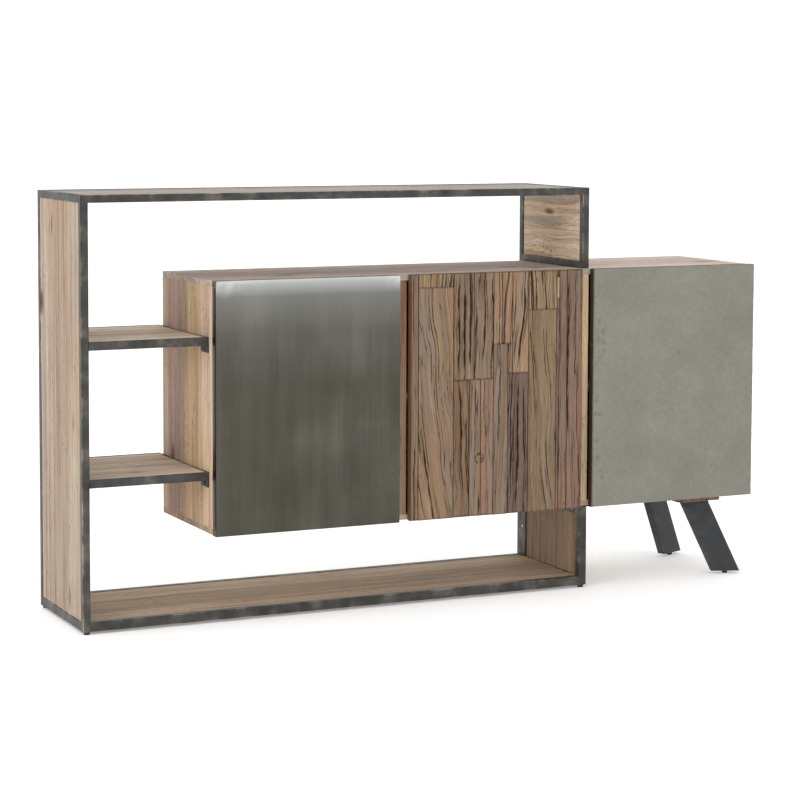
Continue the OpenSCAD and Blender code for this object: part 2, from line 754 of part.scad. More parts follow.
// Pins put in from the bottom and top edges of a door, pressed into the plates
module pivot_pins() {
    color(bright_c) placed() for (i = [0:2]) {
        rod(pin_x(i), pin_y, door_z0 + pin_end_in, low_plate_z0 + plate_t + washer_t + pin_out, pin_r);
        rod(pin_x(i), pin_y, high_plate_z0 - pin_out, door_z1 - pin_end_in, pin_r);
    }
}

// Washers that carry the doors' weight on the lower plates
module pivot_washers() {
    z0 = low_plate_z0 + plate_t;
    color(bright_c) placed() for (i = [0:2]) difference() {
        rod(pin_x(i), pin_y, z0, z0 + washer_t, nose_r);
        rod(pin_x(i), pin_y, z0 - over, z0 + washer_t + over, pin_r + hole_clear);
    }
}

module hinge_screws() {
    color(bright_c) placed() {
        for (p = low_leaf_pts)
            screw(p, to_down, screw_r, screw_l, screw_head_r, screw_head_h);
        for (p = high_leaf_pts)
            screw(p, to_up, screw_r, screw_l, screw_head_r, screw_head_h);
    }
}

// Place of the catch of door i, near its free edge and clear of the divider
function catch_x(i) = free_x(i) - hinge_sides[i] * catch_in;

module magnet_catches() {
    color(black_c) placed() for (i = [0:2])
        block([catch_x(i) - catch_w / 2, catch_y0, bay_z1 - catch_h],
            [catch_x(i) + catch_w / 2, catch_y0 + catch_l, bay_z1]);
}

// Steel plate on the back of door i, opposite its catch
module strike(i) {
    z0 = bay_z1 - catch_h / 2 - strike_h / 2;
    block([catch_x(i) - strike_w / 2, door_t, z0],
        [catch_x(i) + strike_w / 2, door_t + strike_t, z0 + strike_h]);
}

module metal_door_strike() { color(bright_c) placed() strike(0); }
module wood_door_strike() { color(bright_c) placed() strike(1); }
module cement_door_strike() { color(bright_c) placed() strike(2); }

// Level-cut box section that leans along +x from its top centre, w wide and t thick
module leaning_bar(w, t, z0, z1) {
    shift = (leg_body_top - z0) * tan(leg_lean);
    rise = (leg_body_top - z1) * tan(leg_lean);
    rotate([90, 0, 0]) linear_extrude(height = t, center = true)
        polygon([[shift - w / 2, z0], [shift + w / 2, z0], [rise + w / 2, z1], [rise - w / 2, z1]]);
}

// Moves a leg's parts to the top centre of leg i, turned to its lean
module at_leg(i) {
    translate([leg_top_x, leg_ys[i], 0]) rotate([0, 0, leg_turns[i]]) children();
}

// Inner space of a leg, from its open foot up to its top plate
module leg_bore(z0, z1, clear) {
    wall_cut = leg_wall / cos(leg_lean) + clear;
    leaning_bar(leg_cut_w - 2 * wall_cut, leg_t - 2 * (leg_wall + clear), z0, z1);
}

// Box-section leg welded to its fixing plate
module leg(i) {
    difference() {
        union() {
            at_leg(i) leaning_bar(leg_cut_w, leg_t, glide_h, leg_body_top);
            block([leg_plate_xs[0], leg_ys[i] - leg_plate_w / 2, leg_body_top],
                [leg_plate_xs[1], leg_ys[i] + leg_plate_w / 2, leg_top]);
        }
        at_leg(i) leg_bore(glide_h - over, leg_body_top, 0);
        for (p = leg_pts) pilot(p, to_up, screw_r, leg_plate_t);
    }
}

module leg_front() { color(black_c) placed() leg(0); }
module leg_rear() { color(black_c) placed() leg(1); }

// Wooden batten between the leg plates and the cabinet's underside, its right edge chamfered
module leg_batten() {
    outline = [
        [batten_x0, leg_top], [batten_x1 - batten_chamfer, leg_top],
        [batten_x1, leg_top + batten_chamfer], [batten_x1, cab_z], [batten_x0, cab_z]
    ];
    color(batten_c) placed() difference() {
        translate([0, carcass_y1, 0]) rotate([90, 0, 0])
            linear_extrude(height = carcass_y1 - carcass_y0) polygon(outline);
        for (p = leg_pts) pilot(p, to_up, screw_r, leg_plate_t + screw_l);
    }
}

// Plugs in the open feet of the legs, which hold the glides
module leg_plugs() {
    color(black_c) placed() for (i = [0, 1]) difference() {
        at_leg(i) leg_bore(glide_h, glide_h + plug_h, hole_clear);
        rod(leg_glides[i][0], leg_glides[i][1], glide_h - over, glide_h + glide_stem_l + seat_clear,
            glide_stem_r + hole_clear);
    }
}

// Screws and bolts of the leg plates, the mounting plates, the shelf brackets and the upper post's foot
module fixing_screws() {
    color(bright_c) placed() {
        for (p = leg_pts) screw(p, to_up, screw_r, leg_plate_t + screw_l, screw_head_r, screw_head_h);
        for (p = mount_pts) screw(p, to_up, bolt_r, mount_t + screw_l, bolt_head_r, bolt_head_h);
        for (p = bracket_pts) screw(p, to_right, screw_r, bracket_t + screw_l, screw_head_r, screw_head_h);
        for (p = base_bolt_pts) screw(p, to_up, bolt_r, board_t + tube_wall + over, bolt_head_r, bolt_head_h);
    }
}

module glides() {
    color(black_c) placed() for (p = concat(frame_glides, leg_glides)) {
        rod(p[0], p[1], 0, glide_h, glide_d / 2);
        rod(p[0], p[1], glide_h, glide_h + glide_stem_l, glide_stem_r);
    }
}

left_front_post();
left_rear_post();
right_upper_post();
right_lower_post();
right_rear_post();
top_front_rail();
top_rear_rail();
bottom_front_rail();
bottom_rear_rail();
left_top_cross();
left_bottom_cross();
right_top_cross();
right_base_cross();
right_bottom_cross();
flange_bars();
post_mount_plates();
left_panel();
top_panel();
bottom_panel();
right_upper_panel();
right_lower_panel();
panel_clips();
panel_screws();
upper_shelf_board();
upper_shelf_rim();
lower_shelf_board();
lower_shelf_rim();
shelf_brackets();
carcass_top();
carcass_bottom();
carcass_left_side();
carcass_right_side();
divider_left();
divider_right();
back_panel();
inner_shelves();
shelf_pins();
carcass_dowels();
metal_door_core();
metal_door_skin();
wood_door_backer();
wood_door_cladding();
cement_door_core();
cement_door_slab();
pivot_plates();
pivot_pins();
pivot_washers();
hinge_screws();
magnet_catches();
metal_door_strike();
wood_door_strike();
cement_door_strike();
leg_front();
leg_rear();
leg_batten();
leg_plugs();
fixing_screws();
glides();
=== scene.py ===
# %% [markdown]
# # A sideboard of dark steel, old wood, sheet metal and cement
# A long open frame of welded square tube carries wooden panels. A cabinet is set through it, with
# three doors of three different finishes, and two slanted legs hold up the end that stands out.
# The CAD model already has every part at its true size. This lesson gives each part its surface:
# rounded tube edges, boards glued from planks, a mosaic of split old wood, a folded metal sheet and
# a slab of cement.

# %% Load the model
import json
import math
import random

import bmesh
import bpy
from mathutils import Matrix, Vector, noise


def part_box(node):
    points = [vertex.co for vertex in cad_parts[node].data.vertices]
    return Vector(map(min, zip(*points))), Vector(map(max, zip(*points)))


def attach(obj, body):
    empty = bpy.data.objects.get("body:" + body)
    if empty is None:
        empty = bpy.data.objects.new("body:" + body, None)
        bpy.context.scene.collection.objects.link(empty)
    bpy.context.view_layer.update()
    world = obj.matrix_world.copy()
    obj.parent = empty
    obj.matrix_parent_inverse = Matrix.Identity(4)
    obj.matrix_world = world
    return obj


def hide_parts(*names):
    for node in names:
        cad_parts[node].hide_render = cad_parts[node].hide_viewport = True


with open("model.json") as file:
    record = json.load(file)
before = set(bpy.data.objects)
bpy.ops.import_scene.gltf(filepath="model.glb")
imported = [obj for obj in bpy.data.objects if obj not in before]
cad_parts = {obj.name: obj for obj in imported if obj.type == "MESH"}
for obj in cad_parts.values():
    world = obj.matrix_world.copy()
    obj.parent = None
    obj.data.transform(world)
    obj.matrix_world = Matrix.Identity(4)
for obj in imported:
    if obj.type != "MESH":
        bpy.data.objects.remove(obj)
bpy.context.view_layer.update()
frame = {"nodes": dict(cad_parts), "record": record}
MM = 0.001
X, Y, Z = 0, 1, 2

# %% [markdown]
# ## Camera
# The view is from the front left and a little above, far away, as in a studio with a long lens. The
# camera looks down slightly, and the lens is shifted a little downwards, which keeps the uprights
# almost parallel.

# %% Camera
FOCAL_SHARE = 2.9751        # focal length over the image's width
SENSOR = 36.0               # sensor width in millimetres
LENS_SHIFT = -0.15          # share of the image's width
CAMERA_PLACE = (-2.257, -4.737, 1.1)
TURN_RIGHT, TILT_DOWN, ROLL = math.radians(25.266), math.radians(4.404), math.radians(0.202)

camera_data = bpy.data.cameras.new("studio_camera")
camera_data.sensor_width = SENSOR
camera_data.lens = FOCAL_SHARE * SENSOR
camera_data.shift_y = LENS_SHIFT
camera_data.clip_end = 100
camera = bpy.data.objects.new("studio_camera", camera_data)
bpy.context.scene.collection.objects.link(camera)
camera.matrix_world = (
    Matrix.Translation(CAMERA_PLACE)
    @ Matrix.Rotation(-TURN_RIGHT, 4, "Z")
    @ Matrix.Rotation(math.pi / 2 - TILT_DOWN, 4, "X")
    @ Matrix.Rotation(ROLL, 4, "Z")
)
bpy.context.scene.camera = camera
print("camera lens:", round(camera_data.lens, 1), "mm")

# %% [markdown]
# ## Studio
# Everything stands on one pale floor under a white sky, with two big soft lights. The floor is white
# acrylic that glows a little, as on a product table, and the sky fills the shadows, so they stay
# faint. The panel at the left lights the sides that face it, and a weak one overhead gives the tops
# a gleam. The plain view transform keeps the colours as they are set.

# %% Colours and nodes
def linear(code):
    """An sRGB hex code as the linear colour that a shader takes."""
    parts = [int(code[i:i + 2], 16) / 255 for i in (1, 3, 5)]
    parts = [c / 12.92 if c <= 0.04045 else ((c + 0.055) / 1.055) ** 2.4 for c in parts]
    return (*parts, 1.0)


def add(mat, kind, inputs, stops=(), **settings):
    """Adds a node. An input is a value or the socket that feeds it; stops fill a colour ramp."""
    node = mat.node_tree.nodes.new("ShaderNode" + kind)
    for name, value in settings.items():
        setattr(node, name, value)
    for key, value in inputs.items():
        if isinstance(value, bpy.types.NodeSocket):
            mat.node_tree.links.new(value, node.inputs[key])
        else:
            node.inputs[key].default_value = value
    for i, (place, code) in enumerate(stops):
        stop = node.color_ramp.elements[i] if i < 2 else node.color_ramp.elements.new(place)
        stop.position = place
        stop.color = linear(code)
    return node


def new_material(name, **values):
    """A material with one principled shader; values are set on the shader's own sockets."""
    mat = bpy.data.materials.new(name)
    mat.use_nodes = True
    shader = mat.node_tree.nodes["Principled BSDF"]
    for key, value in values.items():
        shader.inputs[key.replace("_", " ")].default_value = value
    return mat, shader


def feed(mat, shader, **sockets):
    """Links sockets to the shader's inputs, such as Base_Color."""
    for key, socket in sockets.items():
        mat.node_tree.links.new(socket, shader.inputs[key.replace("_", " ")])


def sizes(along, across_mm, along_mm):
    """Mapping scale for a pattern that is across_mm wide and along_mm long on the grain's axis."""
    scale = [1 / (across_mm * MM)] * 3
    scale[along] = 1 / (along_mm * MM)
    return scale


# %% Floor, sky and lights
SKY_STRENGTH = 1.1
FLOOR_GLOW = 0.21
FLOOR_HALF = 30             # metres from the middle to the edge

scene = bpy.context.scene
scene.view_settings.view_transform = "Standard"
world = bpy.data.worlds.new("white_sky")
world.use_nodes = True
world.node_tree.nodes["Background"].inputs["Color"].default_value = linear("#ffffff")
world.node_tree.nodes["Background"].inputs["Strength"].default_value = SKY_STRENGTH
scene.world = world

floor_mesh = bpy.data.meshes.new("studio_floor")
bm = bmesh.new()
bmesh.ops.create_grid(bm, x_segments=1, y_segments=1, size=FLOOR_HALF)
bm.to_mesh(floor_mesh)
bm.free()
floor = bpy.data.objects.new("studio_floor", floor_mesh)
scene.collection.objects.link(floor)
floor_paint, _ = new_material("white_acrylic_lit_from_below", Base_Color=linear("#f8f8f8"), Roughness=0.9,
                              Emission_Color=linear("#ffffff"), Emission_Strength=FLOOR_GLOW)
floor_mesh.materials.append(floor_paint)


def soft_light(name, place, aim, size, power):
    """A square area light at one place, pointed at another; metres and watts."""
    data = bpy.data.lights.new(name, "AREA")
    data.shape = "SQUARE"
    data.size = size
    data.energy = power
    lamp = bpy.data.objects.new(name, data)
    scene.collection.objects.link(lamp)
    turn = (Vector(aim) - Vector(place)).to_track_quat("-Z", "Y")
    lamp.matrix_world = Matrix.Translation(place) @ turn.to_matrix().to_4x4()


soft_light("overhead_light", (0.3, -0.6, 3.6), (0, 0, 0.3), 3.0, 6)
soft_light("left_light", (-3.8, -1.6, 1.6), (0, 0, 0.45), 2.4, 42)

# %% [markdown]
# ## Steel
# The frame is hot-rolled square tube, wiped with oil and lacquered. It stays dark and a little
# blotchy, and the corners are rubbed bright. The legs and plates are painted matt black.
# Colour comes from soft noise at the size of real blotches. The bright corner is not painted by
# hand: the rounded faces carry an attribute that marks them as worn, and the material reads it.

# %% Steel, paint and plastic
def frame_steel():
    """Hot-rolled tube under lacquer: dark mottled grey with a thin bright line on rubbed corners."""
    mat, shader = new_material("hot_rolled_steel", Metallic=0.75)
    place = add(mat, "TexCoord", {}).outputs["Object"]
    blotch = add(mat, "TexNoise", {"Vector": place, "Scale": 1 / (45 * MM), "Detail": 6, "Roughness": 0.62})
    speck = add(mat, "TexNoise", {"Vector": place, "Scale": 1 / (3 * MM), "Detail": 3})
    tone = add(mat, "ValToRGB", {"Fac": blotch.outputs["Fac"]},
               stops=[(0.32, "#383634"), (0.7, "#68645b"), (0.52, "#4a4845")])
    wear_and_highlight = add(mat, "Attribute", {}, attribute_name="wear_and_highlight").outputs["Fac"]
    rub = add(mat, "MapRange", {"Value": blotch.outputs["Fac"], "From Min": 0.5, "From Max": 0.64})
    rubbed = add(mat, "Math", {0: wear_and_highlight, 1: rub.outputs[0]}, operation="MULTIPLY")
    colour = add(mat, "Mix", {0: rubbed.outputs[0], 6: tone.outputs["Color"], 7: linear("#8f8a80")},
                 data_type="RGBA")
    rough = add(mat, "MapRange", {"Value": speck.outputs["Fac"], "To Min": 0.34, "To Max": 0.56})
    bump = add(mat, "Bump", {"Height": speck.outputs["Fac"], "Strength": 0.25, "Distance": 0.2 * MM})
    feed(mat, shader, Base_Color=colour.outputs[2], Roughness=rough.outputs[0], Normal=bump.outputs[0])
    return mat


def black_paint():
    """Matt black paint on steel: charcoal with faint lighter rubs and rubbed corners."""
    mat, shader = new_material("matt_black_paint", Metallic=0.1)
    place = add(mat, "TexCoord", {}).outputs["Object"]
    rubs = add(mat, "TexNoise", {"Vector": place, "Scale": 1 / (70 * MM), "Detail": 7, "Roughness": 0.7})
    orange_peel = add(mat, "TexNoise", {"Vector": place, "Scale": 1 / (2 * MM), "Detail": 2})
    tone = add(mat, "ValToRGB", {"Fac": rubs.outputs["Fac"]},
               stops=[(0.35, "#25272a"), (0.72, "#46484b"), (0.55, "#2e3033")])
    wear_and_highlight = add(mat, "Attribute", {}, attribute_name="wear_and_highlight").outputs["Fac"]
    rub = add(mat, "MapRange", {"Value": rubs.outputs["Fac"], "From Min": 0.5, "From Max": 0.75})
    rubbed = add(mat, "Math", {0: wear_and_highlight, 1: rub.outputs[0]}, operation="MULTIPLY")
    colour = add(mat, "Mix", {0: rubbed.outputs[0], 6: tone.outputs["Color"], 7: linear("#6b6c6c")},
                 data_type="RGBA")
    rough = add(mat, "MapRange", {"Value": rubs.outputs["Fac"], "To Min": 0.5, "To Max": 0.7})
    bump = add(mat, "Bump", {"Height": orange_peel.outputs["Fac"], "Strength": 0.2, "Distance": 0.1 * MM})
    feed(mat, shader, Base_Color=colour.outputs[2], Roughness=rough.outputs[0], Normal=bump.outputs[0])
    return mat


def zinc_plate():
    """Zinc plating on small hardware: pale grey with a faint straw tint in patches."""
    mat, shader = new_material("zinc_plated_steel", Metallic=1.0)
    place = add(mat, "TexCoord", {}).outputs["Object"]
    patch = add(mat, "TexNoise", {"Vector": place, "Scale": 1 / (6 * MM), "Detail": 4})
    tone = add(mat, "ValToRGB", {"Fac": patch.outputs["Fac"]}, stops=[(0.35, "#a9abad"), (0.7, "#c9c4b4")])
    rough = add(mat, "MapRange", {"Value": patch.outputs["Fac"], "To Min": 0.25, "To Max": 0.45})
    feed(mat, shader, Base_Color=tone.outputs["Color"], Roughness=rough.outputs[0])
    return mat


def black_plastic():
    """Moulded black plastic: glides, plugs and catch housings, with a fine spark texture."""
    mat, shader = new_material("moulded_black_plastic")
    place = add(mat, "TexCoord", {}).outputs["Object"]
    grain = add(mat, "TexNoise", {"Vector": place, "Scale": 1 / (0.8 * MM), "Detail": 2})
    tone = add(mat, "ValToRGB", {"Fac": grain.outputs["Fac"]}, stops=[(0.3, "#151515"), (0.7, "#242424")])
    rough = add(mat, "MapRange", {"Value": grain.outputs["Fac"], "To Min": 0.45, "To Max": 0.65})
    bump = add(mat, "Bump", {"Height": grain.outputs["Fac"], "Strength": 0.3, "Distance": 0.1 * MM})
    feed(mat, shader, Base_Color=tone.outputs["Color"], Roughness=rough.outputs[0], Normal=bump.outputs[0])
    return mat


STEEL, BLACK, ZINC, PLASTIC = frame_steel(), black_paint(), zinc_plate(), black_plastic()
print("hardware materials:", [m.name for m in (STEEL, BLACK, ZINC, PLASTIC)])

# %% [markdown]
# ## Wood
# Every wooden part here is old timber: sun-bleached planks with darker growth bands, fine fibres,
# grey streaks, groups of short dark flecks and a few drying cracks. One recipe serves them all. It
# reads two attributes that the planks carry: tint, the plank's colour, which on a few boards also
# holds painted light or shade, and shift, which moves the pattern so that no two planks look alike.
# A third attribute, where a part carries it, paints shade into crevices. The grain's direction is
# the recipe's main choice; the others set how much the timber has cracked, greyed and twisted.

# %% Wood recipe
def old_wood(name, along, crack_share=0.5, cracks_mm=11, grey="#8f8880", contrast=1.0, sway_mm=14,
             crack_wide=1.0):
    """Weathered timber with its grain on the axis along, which sways by sway_mm."""
    mat, shader = new_material(name)
    shader.inputs["Specular IOR Level"].default_value = 0.25
    place = add(mat, "TexCoord", {}).outputs["Object"]
    shift = add(mat, "Attribute", {}, attribute_name="shift").outputs["Vector"]
    tint = add(mat, "Attribute", {}, attribute_name="tint").outputs["Color"]
    crevice_shade = add(mat, "Attribute", {}, attribute_name="crevice_shade").outputs["Fac"]
    moved = add(mat, "VectorMath", {0: place, 1: shift}, operation="ADD").outputs[0]
    slow = add(mat, "Mapping", {"Vector": moved, "Scale": sizes(along, 70, 420)}).outputs[0]
    sway = add(mat, "TexNoise", {"Vector": slow, "Scale": 1, "Detail": 2}).outputs["Color"]
    bent = add(mat, "VectorMath", {0: sway, 1: (sway_mm * MM,) * 3, 2: moved},
               operation="MULTIPLY_ADD").outputs[0]
    bands_at = add(mat, "Mapping", {"Vector": bent, "Scale": sizes(along, 12, 520)}).outputs[0]
    fibres_at = add(mat, "Mapping", {"Vector": bent, "Scale": sizes(along, 1.6, 70)}).outputs[0]
    streaks_at = add(mat, "Mapping", {"Vector": bent, "Scale": sizes(along, 30, 600)}).outputs[0]
    cracks_at = add(mat, "Mapping", {"Vector": bent, "Scale": sizes(along, cracks_mm, 330)}).outputs[0]
    knots_at = add(mat, "Mapping", {"Vector": bent, "Scale": sizes(along, 110, 260)}).outputs[0]
    bands = add(mat, "TexNoise", {"Vector": bands_at, "Scale": 1, "Detail": 4,
                                  "Roughness": 0.6}).outputs["Fac"]
    fibres = add(mat, "TexNoise", {"Vector": fibres_at, "Scale": 1, "Detail": 5,
                                   "Roughness": 0.7}).outputs["Fac"]
    streaks = add(mat, "TexNoise", {"Vector": streaks_at, "Scale": 1, "Detail": 4}).outputs["Fac"]
    cracks = add(mat, "TexNoise", {"Vector": cracks_at, "Scale": 1, "Detail": 2}).outputs["Fac"]
    knots = add(mat, "TexVoronoi", {"Vector": knots_at, "Scale": 1}).outputs["Distance"]
    band_tone = add(mat, "ValToRGB", {"Fac": bands},
                    stops=[(0.3, "#c9b7a6"), (0.66, "#ffffff"), (0.48, "#efe6dc")])
    fibre_tone = add(mat, "ValToRGB", {"Fac": fibres}, stops=[(0.3, "#c4b8ac"), (0.58, "#ffffff")])
    banded = add(mat, "Mix", {0: contrast, 6: tint, 7: band_tone.outputs["Color"]},
                 data_type="RGBA", blend_type="MULTIPLY").outputs[2]
    fibred = add(mat, "Mix", {0: 0.8 * contrast, 6: banded, 7: fibre_tone.outputs["Color"]},
                 data_type="RGBA", blend_type="MULTIPLY").outputs[2]
    grey_share = add(mat, "MapRange", {"Value": streaks, "From Min": 0.5, "From Max": 0.72,
                                       "To Max": 0.65}).outputs[0]
    greyed = add(mat, "Mix", {0: grey_share, 6: fibred, 7: linear(grey)}, data_type="RGBA").outputs[2]
    ring = add(mat, "ValToRGB", {"Fac": knots},
               stops=[(0.03, "#3b2a20"), (0.13, "#ffffff"), (0.075, "#9c8271")])
    knotted = add(mat, "Mix", {0: 0.85, 6: greyed, 7: ring.outputs["Color"]},
                  data_type="RGBA", blend_type="MULTIPLY").outputs[2]
    middle = add(mat, "Math", {0: cracks, 1: 0.5}, operation="SUBTRACT").outputs[0]
    away = add(mat, "Math", {0: middle}, operation="ABSOLUTE").outputs[0]
    line = add(mat, "MapRange", {"Value": away, "From Min": 0.003 * crack_wide,
                                 "From Max": 0.011 * crack_wide, "To Min": 1.0, "To Max": 0.0}).outputs[0]
    patchy = add(mat, "MapRange", {"Value": streaks, "From Min": 0.42, "From Max": 0.56,
                                   "To Max": crack_share}).outputs[0]
    crack = add(mat, "Math", {0: line, 1: patchy}, operation="MULTIPLY").outputs[0]
    cracked = add(mat, "Mix", {0: crack, 6: knotted, 7: linear("#33261d")}, data_type="RGBA").outputs[2]
    flecks_at = add(mat, "Mapping", {"Vector": bent, "Scale": sizes(along, 2.6, 13)}).outputs[0]
    flecks = add(mat, "TexNoise", {"Vector": flecks_at, "Scale": 1, "Detail": 1}).outputs["Fac"]
    groups = add(mat, "TexNoise", {"Vector": moved, "Scale": 1 / (90 * MM), "Detail": 2}).outputs["Fac"]
    fleck = add(mat, "MapRange", {"Value": flecks, "From Min": 0.63, "From Max": 0.72}).outputs[0]
    grouped = add(mat, "MapRange", {"Value": groups, "From Min": 0.46, "From Max": 0.62}).outputs[0]
    holes = add(mat, "Math", {0: fleck, 1: grouped}, operation="MULTIPLY").outputs[0]
    flecked = add(mat, "Mix", {0: holes, 6: cracked, 7: linear("#5a4536")}, data_type="RGBA").outputs[2]
    # Painted shade: where the crevice shade attribute is set, in splits and between strips, the wood turns
    # dark brown.
    deep = add(mat, "Mix", {0: crevice_shade, 6: flecked, 7: linear("#281c14")}, data_type="RGBA").outputs[2]
    grain_height = add(mat, "Math", {0: bands, 1: fibres}, operation="ADD").outputs[0]
    height = add(mat, "Math", {0: grain_height, 1: crack}, operation="SUBTRACT").outputs[0]
    bump = add(mat, "Bump", {"Height": height, "Strength": 0.5, "Distance": 0.6 * MM}).outputs[0]
    rough = add(mat, "MapRange", {"Value": fibres, "To Min": 0.62, "To Max": 0.85}).outputs[0]
    feed(mat, shader, Base_Color=deep, Roughness=rough, Normal=bump)
    return mat


WOOD = {
    X: old_wood("weathered_wood_lengthways", X),
    Y: old_wood("weathered_wood_crossways", Y),
    Z: old_wood("weathered_wood_upright", Z),
}
KNOTTY = old_wood("knotty_figured_wood", Y, sway_mm=70)
RECLAIMED = old_wood("reclaimed_split_wood", Z, crack_share=0.95, cracks_mm=5, grey="#7d766e", sway_mm=4,
                     crack_wide=1.9)
BOARD = old_wood("plain_board", X, crack_share=0.1, contrast=0.45)
# Painted shade: the door cores get dark tints so their edges in the narrow gaps between the doors look
# shaded; the dark grey keeps light streaks off them.
DOOR_CORE_GAP_SHADE = old_wood("door_core_painted_gap_shade", Z, crack_share=0.1, contrast=0.5, grey="#2b221b")
print("wood recipes:", len(WOOD) + len((KNOTTY, RECLAIMED, BOARD, DOOR_CORE_GAP_SHADE)))

# %% [markdown]
# ## Steel parts with rounded corners
# A CAD tube has knife-sharp corners, which no real tube has, and a sharp corner catches no light.
# Each steel part is copied, its triangles are merged into flat faces, and its long outer corners
# are beveled to the radius that the rolling mill leaves. The new faces are marked as worn.

# %% Copy and round
SQUARE = math.radians(50)   # an edge that turns outwards by more than this is a corner


def merged_copy(node):
    """A bmesh of a CAD part with its loose triangles merged into flat faces."""
    bm = bmesh.new()
    bm.from_mesh(frame["nodes"][node].data)
    bmesh.ops.remove_doubles(bm, verts=bm.verts, dist=0.002 * MM)
    bmesh.ops.dissolve_limit(bm, angle_limit=math.radians(0.5), verts=bm.verts, edges=bm.edges)
    return bm


def finish_piece(bm, name, node, material, smooth_angle=None):
    """Makes the object, rides it on the body of the CAD part it stands for, and hides that part."""
    mesh = bpy.data.meshes.new(name)
    bm.to_mesh(mesh)
    bm.free()
    mesh.materials.append(material)
    if smooth_angle:
        mesh.shade_smooth()
        mesh.set_sharp_from_angle(angle=math.radians(smooth_angle))
    piece = bpy.data.objects.new(name, mesh)
    scene.collection.objects.link(piece)
    body = next(b for b, nodes in frame["record"]["behaviour"]["bodies"].items() if node in nodes)
    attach(piece, body)
    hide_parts(node)
    return piece


def outer_edges(bm, shortest_mm):
    """Convex square edges at least this long."""
    found = []
    for edge in bm.edges:
        square = edge.is_manifold and edge.calc_face_angle_signed(0) > SQUARE
        if square and edge.calc_length() >= shortest_mm * MM:
            found.append(edge)
    return found


def round_part(node, radius_mm, shortest_mm, material):
    """Copies a CAD part, rounds its outer edges and marks the rounded faces as worn."""
    bm = merged_copy(node)
    wear_and_highlight = bm.faces.layers.float.new("wear_and_highlight")
    done = bmesh.ops.bevel(bm, geom=outer_edges(bm, shortest_mm), offset=radius_mm * MM,
                           affect="EDGES", segments=3, profile=0.5, clamp_overlap=True, material=-1)
    for face in done["faces"]:
        face.smooth = True
        face[wear_and_highlight] = 1.0
    return finish_piece(bm, node + "_rounded", node, material)


# %% Round the frame, the legs and the small hardware
TUBES = [
    "left_front_post", "left_rear_post", "right_upper_post", "right_lower_post", "right_rear_post",
    "top_front_rail", "top_rear_rail", "bottom_front_rail", "bottom_rear_rail", "left_top_cross",
    "left_bottom_cross", "right_top_cross", "right_base_cross", "right_bottom_cross",
]
TUBE_R, BAR_R, CLIP_R, LEG_R, PLATE_R = 1.4, 0.8, 0.4, 1.6, 0.5      # corner radii in millimetres
LONG_MM, CLIP_MM, PLATE_MM = 60, 15, 3                               # shortest edge that is rounded
rounded = [round_part(node, TUBE_R, LONG_MM, STEEL) for node in TUBES]
for node in ("upper_shelf_rim", "lower_shelf_rim", "flange_bars"):
    rounded.append(round_part(node, BAR_R, LONG_MM, STEEL))
rounded.append(round_part("panel_clips", CLIP_R, CLIP_MM, STEEL))
for node in ("leg_front", "leg_rear"):
    rounded.append(round_part(node, LEG_R, LONG_MM, BLACK))
for node in ("post_mount_plates", "shelf_brackets", "pivot_plates"):
    rounded.append(round_part(node, PLATE_R, PLATE_MM, BLACK))
print("rounded steel parts:", len(rounded))


def soften_part(node, radius_mm, material):
    """Copies a small turned or moulded part and rounds every sharp rim on it."""
    bm = merged_copy(node)
    bmesh.ops.bevel(bm, geom=outer_edges(bm, 0), offset=radius_mm * MM, affect="EDGES",
                    segments=2, profile=0.5, clamp_overlap=True, material=-1)
    return finish_piece(bm, node + "_softened", node, material, smooth_angle=40)


TURNED_R, MOULDED_R = 0.25, 0.6
softened = [soften_part("fixing_screws", TURNED_R, BLACK)]
for node in ("panel_screws", "hinge_screws", "pivot_pins", "pivot_washers", "shelf_pins",
             "metal_door_strike", "wood_door_strike", "cement_door_strike"):
    softened.append(soften_part(node, TURNED_R, ZINC))
for node in ("glides", "leg_plugs", "magnet_catches"):
    softened.append(soften_part(node, MOULDED_R, PLASTIC))
print("softened small parts:", len(softened))

# %% [markdown]
# ## Boards glued from planks
# The panels, shelves and the cabinet's outside are planks glued edge to edge. Each plank is its own
# beveled block with a hair of a joint beside it, so the joints catch real shadow. Its tint and its
# shift are written to its corners for the wood recipe.

# %% Planks
JOINT = 0.35 * MM           # gap between two planks
EDGE = 0.5 * MM             # bevel along a plank's edges
SPREAD = 9                  # metres: how far the wood pattern may be moved from plank to plank
picks = random.Random(7)


def mark_wood(bm, verts, code):
    """Writes one plank's tint and a random shift of the pattern to its corners."""
    tint = bm.verts.layers.float_color.get("tint") or bm.verts.layers.float_color.new("tint")
    shift = bm.verts.layers.float_vector.get("shift") or bm.verts.layers.float_vector.new("shift")
    place = Vector([picks.uniform(-SPREAD, SPREAD) for _ in range(3)])
    for vert in verts:
        vert[tint] = linear(code)
        vert[shift] = place


def plank(bm, low, high, code):
    """One beveled block between two corners, with its tint."""
    cube = bmesh.ops.create_cube(bm, size=1)
    size = high - low
    bmesh.ops.scale(bm, vec=size, verts=cube["verts"])
    bmesh.ops.translate(bm, vec=(low + high) / 2, verts=cube["verts"])
    edges = {edge for vert in cube["verts"] for edge in vert.link_edges}
    done = bmesh.ops.bevel(bm, geom=list(edges), offset=EDGE, affect="EDGES", segments=2, profile=0.5,
                           clamp_overlap=True, material=-1)
    mark_wood(bm, {v for f in done["faces"] for v in f.verts}, code)


def plank_panel(node, along, across, codes, shares, slot):
    """Stands for a CAD board: planks side by side on the axis across, with their shares of it."""
    low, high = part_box(node)
    bm = bmesh.new()
    bm.verts.layers.float_color.new("tint")
    bm.verts.layers.float_vector.new("shift")
    total, start = sum(shares), 0
    for code, share in zip(codes, shares):
        a, b = low.copy(), high.copy()
        a[across] = low[across] + (high[across] - low[across]) * start / total
        b[across] = low[across] + (high[across] - low[across]) * (start + share) / total
        a[across] += JOINT / 2 if start else 0
        start += share
        b[across] -= JOINT / 2 if start < total else 0
        plank(bm, a, b, code)
    wood = KNOTTY if node == "right_upper_panel" else WOOD[along]
    return finish_piece(bm, node + "_planks", node, wood)


